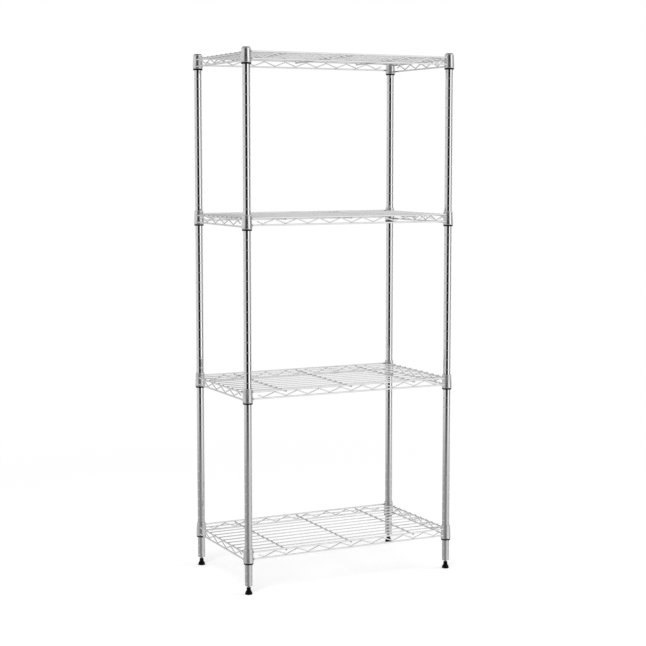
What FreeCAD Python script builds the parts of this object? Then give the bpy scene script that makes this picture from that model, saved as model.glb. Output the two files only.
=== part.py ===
import FreeCAD, Part
import Sketcher
import math
import os

# Wire shelving unit: four grooved posts, four welded wire shelves held on tapered split sleeves,
# and a levelling foot under each post. Millimetres, +Z up, origin on the floor at the centre of
# the footprint. +X runs to the right along the front, and the front faces -Y.

# Driving dimensions, kept in the sheet under these names
SIZES = {
    # Posts: their spacing between axes, the tube, and the rolled grooves
    "post_spacing_x": 574.0,
    "post_spacing_y": 319.0,
    "post_diameter": 19.0,
    "post_wall": 1.0,
    "post_length": 1339.8,
    "post_lift": 22.2,
    "groove_pitch": 25.4,
    "groove_depth": 0.5,
    "groove_width": 2.0,
    "first_groove": 7.1,
    "lowest_seat_groove": 3,
    # Post caps
    "cap_thickness": 1.5,
    "cap_edge_round": 1.1,
    "cap_plug_depth": 9.0,
    "cap_plug_wall": 2.0,
    # Levelling feet: bell-shaped pad, threaded stud, and the insert it turns in
    "foot_diameter": 18.4,
    "foot_height": 17.5,
    "foot_rim": 3.2,
    "foot_rim_round": 1.0,
    "foot_neck_diameter": 10.6,
    "foot_neck_height": 5.6,
    "stud_diameter": 6.0,
    "stud_in_pad": 11.0,
    "stud_in_post": 25.0,
    "stud_chamfer": 0.8,
    "insert_height": 27.0,
    # Split sleeves: two tapered halves around the post, with a rib that sits in a groove
    "sleeve_top_wall": 0.95,
    "sleeve_bottom_wall": 2.35,
    "sleeve_top_room": 0.5,
    "sleeve_rim_wall": 2.8,
    "sleeve_rim_height": 4.0,
    "sleeve_rib_below_top": 6.8,
    "sleeve_rib_depth": 0.4,
    "sleeve_half_angle": 178.6,
    # Corner collars, pressed steel, on the taper of the sleeves
    "collar_wall": 1.3,
    "collar_height": 35.5,
    "collar_shoulder": 4.0,
    "collar_shoulder_round": 4.8,
    "collar_lip_wall": 0.9,
    "collar_foot_height": 3.0,
    "collar_foot_inset": 0.7,
    "collar_foot_round": 6.0,
    # Shelf wires
    "rail_diameter": 4.0,
    "rail_offset": 6.5,
    "top_rail_below_shoulder": 2.58,
    "bottom_rail_above_edge": 3.4,
    "deck_wire_diameter": 2.8,
    "deck_wire_count": 10,
    "cross_bar_diameter": 4.0,
    "cross_bar_periods": 3,
    "zigzag_diameter": 3.0,
    "zigzag_bend": 6.0,
    "zigzag_pitch_long": 61.5,
    "zigzag_pitch_end": 58.5,
    "zigzag_end_room": 5.0,
    # Clearances: a pushed-in fit, a turning fit, the taper seat, a sliding gap, and a weld line
    "push_fit": 0.02,
    "turning_fit": 0.05,
    "taper_fit": 0.05,
    "sliding_gap": 0.35,
    "weld_line": 0.02,
}

CORNERS = {
    "front_left": (-1, -1),
    "front_right": (1, -1),
    "back_left": (-1, 1),
    "back_right": (1, 1),
}
SHELVES = ("bottom_shelf", "lower_shelf", "upper_shelf", "top_shelf")
SIDES = (-1, 1)
# Steps that settle the slope of a zigzag, and the share its volume may differ from its path's
SLOPE_STEPS = 30
VOLUME_TOLERANCE = 0.002

doc = FreeCAD.newDocument("wire_shelving_unit")
sheet = doc.addObject("Spreadsheet::Sheet", "Dimensions")
for row, (alias, size) in enumerate(SIZES.items(), start=1):
    sheet.set(f"A{row}", alias)
    sheet.set(f"B{row}", str(size))
    sheet.setAlias(f"B{row}", alias)
doc.recompute()

sub_parts = []


def size_of(alias):
    """The number that the sheet holds under this name."""
    return float(sheet.get(alias))


def bound(formula):
    """The formula with each sheet name written as a reference to its cell."""
    words = formula.replace("(", " ( ").replace(")", " ) ").split()
    return " ".join(f"Dimensions.{word}" if word in SIZES else word for word in words)


def value_of(formula):
    """The number that a formula of the sheet's names comes to."""
    return float(sheet.evalExpression(bound(formula)))


def bind(item, path, formula):
    item.setExpression(path, bound(formula))


def place(item, x="0", y="0", z="0"):
    """Ties the place of an object to formulas of the sheet's names."""
    bind(item, ".Placement.Base.x", x)
    bind(item, ".Placement.Base.y", y)
    bind(item, ".Placement.Base.z", z)


def keep(item, label):
    """Marks an object as a finished sub-part, whose label names its file."""
    item.Label = label
    sub_parts.append(item)
    return item


def origin_plane(body, role):
    return next(plane for plane in body.Origin.OriginFeatures if plane.Role == role)


def half_section(body, name, corners):
    """A closed outline in the body's XZ plane: corners as (radius, height) formulas.

    A corner may have a third entry, the formula of the radius of the arc that leads to the next
    corner, bulging away from the axis.
    """
    sketch = body.newObject("Sketcher::SketchObject", name)
    sketch.AttachmentSupport = [(origin_plane(body, "XZ_Plane"), "")]
    sketch.MapMode = "FlatFace"
    points = [FreeCAD.Vector(value_of(corner[0]), value_of(corner[1]), 0) for corner in corners]
    for index, corner in enumerate(corners):
        start = points[index]
        end = points[(index + 1) % len(points)]
        if len(corner) == 3:
            sketch.addGeometry(outward_arc(start, end, value_of(corner[2])), False)
        else:
            sketch.addGeometry(Part.LineSegment(start, end), False)
    for index, corner in enumerate(corners):
        following = (index + 1) % len(corners)
        join_ends(sketch, index, following)
        pin_point(sketch, start_of(sketch, index, points[index]), index, corner)
    for index, corner in enumerate(corners):
        if len(corner) == 3:
            number = sketch.addConstraint(Sketcher.Constraint(
                "Radius", index, sketch.Geometry[index].Radius))
            bind(sketch, f"Constraints[{number}]", corner[2])
    return sketch


def outward_arc(start, end, radius):
    """The shorter arc from start to end whose middle lies furthest from the axis."""
    middle = (start + end) * 0.5
    chord = end - start
    normal = FreeCAD.Vector(chord.y, -chord.x, 0).normalize()
    if normal.x < 0:
        normal = normal * -1
    reach = math.sqrt(max(radius ** 2 - (chord.Length / 2) ** 2, 0.0))
    bulge = middle + normal * (radius - reach)
    return Part.Arc(start, bulge, end)


def start_of(sketch, index, point):
    """Which end of a drawn line or arc lies at the given point: 1 for its start, 2 for its end."""
    first = sketch.getPoint(index, 1)
    return 1 if (first - point).Length < 1e-6 else 2


def join_ends(sketch, index, following):
    """Joins the end of one stretch of an outline to the start of the next, where they meet."""
    options = [(end, start) for end in (1, 2) for start in (1, 2)]
    near = min(options, key=lambda ends: (
        sketch.getPoint(index, ends[0]) - sketch.getPoint(following, ends[1])).Length)
    sketch.addConstraint(Sketcher.Constraint("Coincident", index, near[0], following, near[1]))


def pin_point(sketch, end, index, corner):
    """Holds a corner of an outline at its radius and height."""
    for direction, formula, axis in (("DistanceX", corner[0], -2), ("DistanceY", corner[1], -1)):
        if formula == "0":
            sketch.addConstraint(Sketcher.Constraint("PointOnObject", index, end, axis))
            continue
        number = sketch.addConstraint(Sketcher.Constraint(
            direction, -1, 1, index, end, value_of(formula)))
        bind(sketch, f"Constraints[{number}]", formula)


def turned_body(name, corners, angle="360"):
    """A body turned about its own upright axis from a half section."""
    body = doc.addObject("PartDesign::Body", name)
    sketch = half_section(body, f"{name}_section", corners)
    turned = body.newObject("PartDesign::Revolution", f"{name}_turned")
    turned.Profile = sketch
    turned.ReferenceAxis = (sketch, ["V_Axis"])
    turned.Midplane = True
    bind(turned, "Angle", angle)
    body.Tip = turned
    return body


def at_corner(item, corner, z):
    side_x, side_y = CORNERS[corner]
    place(item, f"{side_x} * post_spacing_x / 2", f"{side_y} * post_spacing_y / 2", z)


# Posts: a steel tube with a V groove rolled in every inch

def groove_count():
    run = size_of("post_length") - size_of("first_groove") - size_of("groove_width")
    return int(run // size_of("groove_pitch")) + 1


def make_post(corner):
    name = f"post_{corner}"
    outside = "post_diameter / 2"
    inside = "post_diameter / 2 - post_wall"
    body = turned_body(name, [
        (inside, "0"),
        (outside, "0"),
        (outside, "post_length"),
        (inside, "post_length"),
    ])
    notch = half_section(body, f"{name}_notch", [
        ("post_diameter / 2 - groove_depth", "first_groove"),
        ("post_diameter / 2 + groove_depth", "first_groove - groove_width"),
        ("post_diameter / 2 + groove_depth", "first_groove + groove_width"),
    ])
    groove = body.newObject("PartDesign::Groove", f"{name}_groove")
    groove.Profile = notch
    groove.ReferenceAxis = (notch, ["V_Axis"])
    groove.Angle = 360
    body.Tip = groove
    doc.recompute()
    row = body.newObject("PartDesign::LinearPattern", f"{name}_grooves")
    row.Originals = [groove]
    row.Direction = (notch, ["V_Axis"])
    row.Occurrences = groove_count()
    bind(row, "Length", f"groove_pitch * {groove_count() - 1}")
    body.Tip = row
    at_corner(body, corner, "post_lift")
    return keep(body, name)


def make_cap(corner):
    """A plastic plug with a thin rounded head as wide as the post."""
    head = "post_diameter / 2"
    plug = "post_diameter / 2 - post_wall - push_fit"
    hollow = "post_diameter / 2 - post_wall - push_fit - cap_plug_wall"
    top = "cap_plug_depth + cap_thickness"
    body = turned_body(f"post_cap_{corner}", [
        (hollow, "0"),
        (plug, "0"),
        (plug, "cap_plug_depth"),
        (head, "cap_plug_depth"),
        (head, f"{top} - cap_edge_round", "cap_edge_round"),
        (f"{head} - cap_edge_round", top),
        ("0", top),
        ("0", "cap_plug_depth"),
        (hollow, "cap_plug_depth"),
    ])
    at_corner(body, corner, "post_lift + post_length - cap_plug_depth + push_fit")
    return keep(body, f"post_cap_{corner}")


# Levelling feet

def make_insert(corner):
    """The plug in the lower end of the post that the stud turns in."""
    outside = "post_diameter / 2 - post_wall - push_fit"
    bore = "stud_diameter / 2 + turning_fit"
    body = turned_body(f"foot_insert_{corner}", [
        (bore, "0"),
        (outside, "0"),
        (outside, "insert_height"),
        (bore, "insert_height"),
    ])
    at_corner(body, corner, "post_lift")
    return keep(body, f"foot_insert_{corner}")


def make_stud(corner):
    radius = "stud_diameter / 2"
    length = "stud_in_pad + post_lift - foot_height + stud_in_post"
    body = turned_body(f"foot_stud_{corner}", [
        ("0", "0"),
        (radius, "0"),
        (radius, f"{length} - stud_chamfer"),
        (f"{radius} - stud_chamfer", length),
        ("0", length),
    ])
    at_corner(body, corner, "foot_height - stud_in_pad")
    return keep(body, f"foot_stud_{corner}")


def make_pad(corner):
    """A bell: a low upright rim, then a cone that draws in to the neck around the stud."""
    rim = "foot_diameter / 2"
    neck = "foot_neck_diameter / 2"
    bore = "stud_diameter / 2 + turning_fit"
    seat = "foot_height - stud_in_pad - push_fit"
    body = turned_body(f"foot_pad_{corner}", [
        ("0", "0"),
        (f"{rim} - foot_rim_round", "0", "foot_rim_round"),
        (rim, "foot_rim_round"),
        (rim, "foot_rim"),
        (neck, "foot_height - foot_neck_height"),
        (neck, "foot_height"),
        (bore, "foot_height"),
        (bore, seat),
        ("0", seat),
    ])
    at_corner(body, corner, "0")
    return keep(body, f"foot_pad_{corner}")


# Radii on the taper, at the collar's lower edge and at the foot of the collar's shoulder
SLEEVE_LOW = "( post_diameter / 2 + sleeve_bottom_wall )"
SLEEVE_HIGH = "( post_diameter / 2 + sleeve_top_wall )"
# Heights above the collar's lower edge
SHOULDER = "( collar_height - collar_shoulder )"
SLEEVE_TOP = f"( {SHOULDER} - sleeve_top_room )"
RIB_HEIGHT = f"( {SLEEVE_TOP} - sleeve_rib_below_top )"
LONG_TOP = f"( {SHOULDER} - top_rail_below_shoulder - rail_diameter / 2 )"
MAT_PLANE = f"( {LONG_TOP} - rail_diameter / 2 - weld_line )"
END_TOP = f"( {MAT_PLANE} - rail_diameter / 2 )"
END_BOTTOM = "( bottom_rail_above_edge + rail_diameter / 2 )"
TRUSS_HEIGHT = f"( {END_TOP} - {END_BOTTOM} )"
# The planes that the rails run in, outboard of the posts' axes
RAIL_X = "( post_spacing_x / 2 + rail_offset )"
RAIL_Y = "( post_spacing_y / 2 + rail_offset )"


# Shelf levels: the sleeves sit in grooves, spread as evenly as the grooves allow

def seat_grooves():
    """The number of the groove that each level's sleeve rib sits in, from the bottom up."""
    lowest = int(size_of("lowest_seat_groove"))
    above_rib = (size_of("collar_shoulder") + size_of("sleeve_top_room")
                 + size_of("sleeve_rib_below_top"))
    run = size_of("post_length") - size_of("first_groove") - above_rib
    highest = int(run // size_of("groove_pitch"))
    step = (highest - lowest) // 3
    return lowest, lowest + step, highest - step, highest


def level_of(shelf):
    """Formula of the height of a shelf's collars' lower edge."""
    groove = seat_grooves()[SHELVES.index(shelf)]
    return f"post_lift + first_groove + {groove} * groove_pitch - {RIB_HEIGHT}"


def make_sleeve_half():
    """Half a sleeve, its height counted from the underside of its rim."""
    bore = "( post_diameter / 2 + push_fit )"
    rib = f"{bore} - sleeve_rib_depth"
    top = f"sleeve_rim_height + {SLEEVE_TOP}"
    rib_at = f"sleeve_rim_height + {RIB_HEIGHT}"
    half_rib = "sleeve_rib_depth / groove_depth * groove_width / 2"
    return turned_body("sleeve_half", [
        (bore, "0"),
        ("post_diameter / 2 + sleeve_rim_wall", "0"),
        ("post_diameter / 2 + sleeve_rim_wall", "sleeve_rim_height - taper_fit"),
        (SLEEVE_LOW, "sleeve_rim_height - taper_fit"),
        (SLEEVE_HIGH, top),
        (bore, top),
        (bore, f"{rib_at} + {half_rib}"),
        (rib, rib_at),
        (bore, f"{rib_at} - {half_rib}"),
    ], "sleeve_half_angle")


def make_collar():
    """A corner collar, its height counted from its lower edge."""
    low = f"{SLEEVE_LOW} + taper_fit"
    high = f"{SLEEVE_HIGH} + taper_fit"
    lip = "post_diameter / 2 + sliding_gap"
    return turned_body("collar", [
        (low, "0"),
        (f"{low} + collar_wall - collar_foot_inset", "0", "collar_foot_round"),
        (f"{low} + collar_wall", "collar_foot_height"),
        (f"{high} + collar_wall", SHOULDER, "collar_shoulder_round"),
        (f"{lip} + collar_lip_wall", "collar_height"),
        (lip, "collar_height"),
        (lip, f"{SHOULDER} + collar_lip_wall"),
        (high, SHOULDER),
    ])


def copies_at_corners(source, name, turns):
    """Copies of one piece at every corner, once for each turn about the upright axis."""
    copies = []
    for corner in CORNERS:
        for turn in turns:
            copy = doc.addObject("App::Link", f"{name}_{corner}_{turn}")
            copy.LinkedObject = source
            copy.LinkTransform = False
            copy.Placement.Rotation = FreeCAD.Rotation(FreeCAD.Vector(0, 0, 1), turn)
            at_corner(copy, corner, "0")
            copies.append(copy)
    return copies


def wire_along(axis, name, diameter, length, x="0", y="0", z="0"):
    """A straight wire of the given length along X or Y, centred on the given place."""
    wire = doc.addObject("Part::Cylinder", name)
    bind(wire, "Radius", f"{diameter} / 2")
    bind(wire, "Height", length)
    if axis == "x":
        wire.Placement.Rotation = FreeCAD.Rotation(FreeCAD.Vector(0, 1, 0), 90)
        place(wire, f"{x} - ( {length} ) / 2", y, z)
    else:
        wire.Placement.Rotation = FreeCAD.Rotation(FreeCAD.Vector(1, 0, 0), -90)
        place(wire, x, f"{y} - ( {length} ) / 2", z)
    return wire


def group(name, pieces):
    """One object that holds several separate pieces."""
    held = doc.addObject("Part::Compound", name)
    held.Links = pieces
    return held


def make_rail_seats():
    """Solids with the collars' outside form, that the rail ends are shaped to."""
    low = f"{SLEEVE_LOW} + taper_fit + collar_wall + weld_line"
    high = f"{SLEEVE_HIGH} + taper_fit + collar_wall + weld_line"
    seat = turned_body("rail_seat", [
        ("0", "0"),
        (low, "0"),
        (low, "collar_foot_height"),
        (high, SHOULDER),
        ("0", SHOULDER),
    ])
    return group("rail_seats", copies_at_corners(seat, "rail_seat", (0,)))


def rails(name, axis, height, seats):
    """A pair of rails on opposite sides, their ends shaped to the collars."""
    pair = []
    for side in SIDES:
        if axis == "x":
            rail = wire_along("x", f"{name}_{side + 2}", "rail_diameter", "post_spacing_x",
                              y=f"{side} * {RAIL_Y}", z=height)
        else:
            rail = wire_along("y", f"{name}_{side + 2}", "rail_diameter", "post_spacing_y",
                              x=f"{side} * {RAIL_X}", z=height)
        pair.append(rail)
    fitted = doc.addObject("Part::Cut", name)
    fitted.Base = group(f"{name}_pair", pair)
    fitted.Tool = seats
    return fitted


def zigzag_points(pitch, free_length, first_high):
    """Corners of half a zigzag's centre line, from its middle bend out to its free end.

    The bends touch both rails, so the corners stand out past them by what the bend radius rounds
    off. The wire ends a quarter period past its last bend.
    """
    bend = size_of("zigzag_bend")
    between = value_of(TRUSS_HEIGHT) - size_of("rail_diameter") - size_of("zigzag_diameter")
    rise = between / 2 - size_of("weld_line")
    slope = math.atan(4 * rise / pitch)
    for _ in range(SLOPE_STEPS):
        slope = math.atan(4 * (rise + bend * (1 / math.cos(slope) - 1)) / pitch)
    crest = pitch / 4 * math.tan(slope)
    bends = int((free_length - size_of("zigzag_end_room") - pitch / 4) // (pitch / 2))
    sign = 1 if first_high else -1
    corners = [(pitch / 2 * number, crest * sign * (-1) ** number) for number in range(bends + 1)]
    corners.append((pitch / 2 * bends + pitch / 4, 0.0))
    return corners


def rounded_path(points, bend):
    """A wire of straight runs through the points, with a tangent arc at each inner point."""
    edges = []
    last = points[0]
    for before, corner, after in zip(points, points[1:], points[2:]):
        back = (before - corner).normalize()
        ahead = (after - corner).normalize()
        half_turn = (math.pi - back.getAngle(ahead)) / 2
        reach = bend * math.tan(half_turn)
        start = corner + back * reach
        end = corner + ahead * reach
        inward = (back + ahead).normalize()
        middle = corner + inward * (bend / math.cos(half_turn) - bend)
        edges.append(Part.LineSegment(last, start).toShape())
        edges.append(Part.Arc(start, middle, end).toShape())
        last = end
    edges.append(Part.LineSegment(last, points[-1]).toShape())
    return Part.Wire(edges)


def zigzag_solid(pitch, free_length, first_high):
    """A round wire bent to a zigzag along X, in the XZ plane, with its middle at the origin."""
    half = zigzag_points(pitch, free_length, first_high)
    mirrored = [(-x, z) for x, z in reversed(half[1:])]
    points = [FreeCAD.Vector(x, 0, z) for x, z in mirrored + half]
    path = rounded_path(points, size_of("zigzag_bend"))
    ahead = points[1] - points[0]
    radius = size_of("zigzag_diameter") / 2
    ring = Part.Wire(Part.Circle(points[0], ahead, radius).toShape())
    solid = path.makePipeShell([ring], True, False)
    exact = math.pi * radius ** 2 * path.Length
    if abs(solid.Volume - exact) > exact * VOLUME_TOLERANCE:
        raise RuntimeError("a zigzag wire does not have the volume of its path")
    return solid


def zigzags(name, axis):
    """The pair of zigzag truss wires on opposite sides, between their top and bottom rails."""
    outside = value_of(f"{SLEEVE_LOW} + taper_fit + collar_wall")
    long_way = axis == "x"
    spacing = size_of("post_spacing_x") if long_way else size_of("post_spacing_y")
    pitch = size_of("zigzag_pitch_long") if long_way else size_of("zigzag_pitch_end")
    solid = zigzag_solid(pitch, spacing / 2 - outside, first_high=not long_way)
    pair = []
    for side in SIDES:
        wire = doc.addObject("Part::Feature", f"{name}_{side + 2}")
        wire.Shape = solid
        if long_way:
            place(wire, y=f"{side} * {RAIL_Y}", z=f"{LONG_TOP} - {TRUSS_HEIGHT} / 2")
        else:
            wire.Placement.Rotation = FreeCAD.Rotation(FreeCAD.Vector(0, 0, 1), 90)
            place(wire, x=f"{side} * {RAIL_X}", z=f"{END_TOP} - {TRUSS_HEIGHT} / 2")
        pair.append(wire)
    return pair


def deck_wires():
    """Lengthwise wires, evenly spread between the front and back rails, out to the end rails."""
    count = int(size_of("deck_wire_count"))
    wires = []
    for number in range(1, count + 1):
        wires.append(wire_along(
            "x", f"deck_wire_{number}", "deck_wire_diameter",
            f"2 * {RAIL_X} + rail_diameter",
            y=f"{RAIL_Y} * ( {2 * number} / ( deck_wire_count + 1 ) - 1 )",
            z=f"{MAT_PLANE} + weld_line + deck_wire_diameter / 2"))
    return wires


def cross_bars():
    """Bars from front to back under the deck, where the long zigzag is at its lowest."""
    bars = []
    for step in (-1, 0, 1):
        bars.append(wire_along(
            "y", f"cross_bar_{step + 2}", "cross_bar_diameter",
            f"2 * {RAIL_Y} + rail_diameter",
            x=f"{step} * cross_bar_periods * zigzag_pitch_long",
            z=f"{MAT_PLANE} - cross_bar_diameter / 2"))
    return bars


def make_shelves():
    """The pieces of one shelf, drawn once at height 0 and kept once for each level."""
    seats = make_rail_seats()
    collar = make_collar()
    half = make_sleeve_half()
    doc.recompute()
    pieces = {
        "collars": copies_at_corners(collar, "collar", (0,)),
        "long_top_rails": [rails("long_top", "x", LONG_TOP, seats)],
        "long_bottom_rails": [rails("long_bottom", "x", f"{LONG_TOP} - {TRUSS_HEIGHT}", seats)],
        "end_top_rails": [rails("end_top", "y", END_TOP, seats)],
        "end_bottom_rails": [rails("end_bottom", "y", END_BOTTOM, seats)],
        "long_zigzag_wires": zigzags("long_zigzag", "x"),
        "end_zigzag_wires": zigzags("end_zigzag", "y"),
        "deck_wires": deck_wires(),
        "cross_bars": cross_bars(),
    }
    sleeves = copies_at_corners(half, "sleeve", (0, 180))
    for shelf in SHELVES:
        for kind, members in pieces.items():
            held = keep(group(f"{shelf}_{kind}", members), f"{shelf}_{kind}")
            place(held, z=level_of(shelf))
        held = keep(group(f"{shelf}_split_sleeves", sleeves), f"{shelf}_split_sleeves")
        place(held, z=f"{level_of(shelf)} - sleeve_rim_height")


for corner in CORNERS:
    make_post(corner)
    make_cap(corner)
    make_insert(corner)
    make_stud(corner)
    make_pad(corner)
make_shelves()
doc.recompute()

# Nothing is written unless every object came out whole
for item in doc.Objects:
    if "Invalid" in item.State or "Error" in item.State:
        raise RuntimeError(f"{item.Label} failed: {item.State}")
for item in sub_parts:
    if item.Shape.isNull() or not item.Shape.isValid() or not item.Shape.Solids:
        raise RuntimeError(f"{item.Label} has no valid solid")

os.makedirs("parts", exist_ok=True)
for item in sub_parts:
    item.Shape.exportStep(f"parts/{item.Label}.step")
    print(item.Label, len(item.Shape.Solids), round(item.Shape.Volume, 1))
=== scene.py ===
import math

import bmesh
import bpy
from mathutils import Matrix, Vector


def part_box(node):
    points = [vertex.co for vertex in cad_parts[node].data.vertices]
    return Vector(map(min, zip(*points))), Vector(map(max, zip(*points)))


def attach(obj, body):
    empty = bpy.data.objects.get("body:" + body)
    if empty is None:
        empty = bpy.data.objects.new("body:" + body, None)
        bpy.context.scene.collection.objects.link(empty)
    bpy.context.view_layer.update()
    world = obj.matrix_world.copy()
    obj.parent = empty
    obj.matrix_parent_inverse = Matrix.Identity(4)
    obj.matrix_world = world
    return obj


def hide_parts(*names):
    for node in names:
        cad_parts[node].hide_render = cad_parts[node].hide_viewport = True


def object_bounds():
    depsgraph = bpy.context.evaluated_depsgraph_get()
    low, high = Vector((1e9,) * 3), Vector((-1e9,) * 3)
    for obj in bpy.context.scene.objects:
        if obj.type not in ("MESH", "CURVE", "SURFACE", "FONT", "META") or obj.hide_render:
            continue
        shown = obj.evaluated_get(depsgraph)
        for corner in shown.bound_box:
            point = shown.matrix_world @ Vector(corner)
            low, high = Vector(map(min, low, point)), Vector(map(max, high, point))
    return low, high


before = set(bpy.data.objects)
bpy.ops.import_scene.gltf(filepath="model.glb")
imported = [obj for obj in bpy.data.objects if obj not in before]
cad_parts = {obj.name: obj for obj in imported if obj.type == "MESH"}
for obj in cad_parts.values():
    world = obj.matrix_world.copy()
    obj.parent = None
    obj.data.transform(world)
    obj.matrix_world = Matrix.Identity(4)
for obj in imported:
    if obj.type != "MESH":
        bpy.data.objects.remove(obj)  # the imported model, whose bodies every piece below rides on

# A chrome wire shelving unit: grooved posts on levelling feet, and four welded wire shelves whose
# collars sit on black split sleeves. Metres, in the model's own frame: the front faces -Y.

CAD_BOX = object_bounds()
MM = 0.001
TAU = 2 * math.pi
QUARTER_TURN = math.pi / 2
X, Y = 0, 1
CORNERS = ("front_left", "front_right", "back_left", "back_right")
SHELVES = ("bottom_shelf", "lower_shelf", "upper_shelf", "top_shelf")
SIDES = (-1, 1)
# The axis that each pair of rails and zigzags of a shelf runs along
RUNS = {"long": X, "end": Y}

# Posts: the tube's wall, its rolled grooves, and the rounding of its cut ends
POST_WALL = 1.0 * MM
POST_END_ROUND = 0.35 * MM
GROOVE_PITCH = 25.4 * MM
GROOVE_FIRST = 7.1 * MM
GROOVE_DEPTH = 0.5 * MM
GROOVE_HALF_WIDTH = 1.0 * MM
# One flank of a rolled V, from its lip to its root: shares of its half width and of its depth. The
# first point keeps the tube beside the lip straight, so that its reflections run true to the edge.
GROOVE_FLANK = ((1.4, 0.0), (1.2, 0.0), (1.03, 0.03), (0.88, 0.12), (0.18, 0.82), (0.07, 0.92),
                (0.0, 0.94))
POST_SIDES = 48
# Post caps
CAP_PLUG_DEPTH = 9.0 * MM
CAP_PLUG_GAP = 0.02 * MM
CAP_EDGE_ROUND = 1.1 * MM
# Levelling feet: the bell, the neck above it and the bore for the stud, then the stud's thread
FOOT_RIM_HEIGHT = 3.2 * MM
FOOT_RIM_ROUND = 1.0 * MM
FOOT_NECK_RADIUS = 5.3 * MM
FOOT_NECK_HEIGHT = 5.6 * MM
FOOT_NECK_ROUND = 0.5 * MM
FOOT_FLANK_STEPS = 12
FOOT_FLANK_EASE = 0.35
FOOT_BORE_RADIUS = 3.05 * MM
THREAD_PITCH = 1.0 * MM
THREAD_DEPTH = 0.55 * MM
THREAD_RINGS_PER_TURN = 8
STUD_CHAMFER = 0.8 * MM
STUD_SIDES = 24
# Split sleeves and the collars on their taper, as thicknesses outside the post
SLEEVE_GAP = 0.02 * MM
SLEEVE_RIM_WALL = 2.8 * MM
SLEEVE_BOTTOM_WALL = 2.35 * MM
SLEEVE_TOP_WALL = 0.95 * MM
SLEEVE_EDGE_ROUND = 0.4 * MM
SLEEVE_HALF_TURN = math.radians(178.6)
TAPER_FIT = 0.05 * MM
COLLAR_WALL = 1.3 * MM
COLLAR_SHOULDER = 4.0 * MM
COLLAR_TAPER_TOP = 31.5 * MM
COLLAR_SHOULDER_ROUND = 4.8 * MM
COLLAR_LIP_WALL = 0.9 * MM
COLLAR_LIP_GAP = 0.35 * MM
COLLAR_FOOT_HEIGHT = 3.0 * MM
COLLAR_FOOT_INSET = 0.7 * MM
COLLAR_FOOT_ROUND = 6.0 * MM
COLLAR_SIDES = 56
# Shelf wires
DECK_WIRES = 10
CROSS_BARS = 3
ZIGZAG_BEND = 6.0 * MM
ZIGZAG_PITCH = {"long": 61.5 * MM, "end": 58.5 * MM}
SLOPE_STEPS = 20
WIRE_SIDES = 20
BEND_STEPS = 7
# Rounded ends of the straight wires: how far in the round starts, how far it turns, and its rings
WIRE_END_DEPTH = 0.9 * MM
WIRE_END_ANGLE = math.radians(72)
WIRE_END_RINGS = 4
# Weld beads: half sizes along, across and up, for each kind of joint
BEAD_AT_CROSSING = (1.7 * MM, 1.7 * MM, 0.6 * MM)
BEAD_ON_BEND = (3.4 * MM, 1.35 * MM, 0.75 * MM)
BEAD_AT_COLLAR = (2.5 * MM, 2.5 * MM, 2.5 * MM)
BEAD_SPREAD = 0.16
BEAD_SEED = 7
# How often the faces of a bead's lump are split: the few large beads at the collars are rounder
BEAD_SPLITS = 2
COLLAR_BEAD_SPLITS = 3

# Edges that turn more than this stay creased, and points nearer than this become one
SHARP_ANGLE = math.radians(34)
MERGE_DISTANCE = 0.002 * MM


# Nodes

def linear(hex_colour):
    """An sRGB hex colour as linear red, green, blue and alpha."""
    parts = [int(hex_colour[start:start + 2], 16) / 255 for start in (1, 3, 5)]
    return (*(c / 12.92 if c <= 0.04045 else ((c + 0.055) / 1.055) ** 2.4 for c in parts), 1.0)


def add(tree, kind, inputs=None, **settings):
    """Adds a node with its settings, and sets its inputs or links them from nodes or sockets."""
    node = tree.nodes.new(kind)
    for name, value in settings.items():
        setattr(node, name, value)
    for socket, value in (inputs or {}).items():
        if isinstance(value, bpy.types.Node):
            value = value.outputs[0]
        if isinstance(value, bpy.types.NodeSocket):
            tree.links.new(value, node.inputs[socket])
        else:
            node.inputs[socket].default_value = value
    return node


def new_material(name):
    """An empty material, its node tree, and the object coordinates that its patterns read."""
    material = bpy.data.materials.new(name)
    material.use_nodes = True
    tree = material.node_tree
    tree.nodes.clear()
    return material, tree, add(tree, "ShaderNodeTexCoord").outputs["Object"]


# Materials

def chrome_plate(name, bright, dull, haze, wave, wave_height, blur=(0.02, 0.08)):
    """Bright chrome over polished steel: a grey mirror whose plating is a little hazy in patches.

    The eye gets sharp reflections that wander slightly, because the metal under the plating isn't
    quite straight: wave is the length of that waviness along the piece, haze the size of a patch,
    and blur the roughness of the clearest and of the haziest patches.
    """
    material, tree, place = new_material(name)
    patches = add(tree, "ShaderNodeTexNoise",
                  {"Vector": place, "Scale": 1 / haze, "Detail": 3.0, "Roughness": 0.6})
    tone = add(tree, "ShaderNodeMix", {0: patches, 6: linear(bright), 7: linear(dull)},
               data_type="RGBA")
    dulling = add(tree, "ShaderNodeMapRange",
                  {"Value": patches, "From Min": 0.35, "From Max": 0.75,
                   "To Min": blur[0], "To Max": blur[1]})
    ripple = add(tree, "ShaderNodeTexNoise",
                 {"Vector": place, "Scale": 1 / wave, "Detail": 1.0, "Roughness": 0.4})
    bump = add(tree, "ShaderNodeBump",
               {"Strength": 1.0, "Distance": wave_height, "Height": ripple})
    shader = add(tree, "ShaderNodeBsdfPrincipled",
                 {"Base Color": tone.outputs[2], "Metallic": 1.0, "Roughness": dulling,
                  "Normal": bump})
    add(tree, "ShaderNodeOutputMaterial", {"Surface": shader})
    return material


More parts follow.
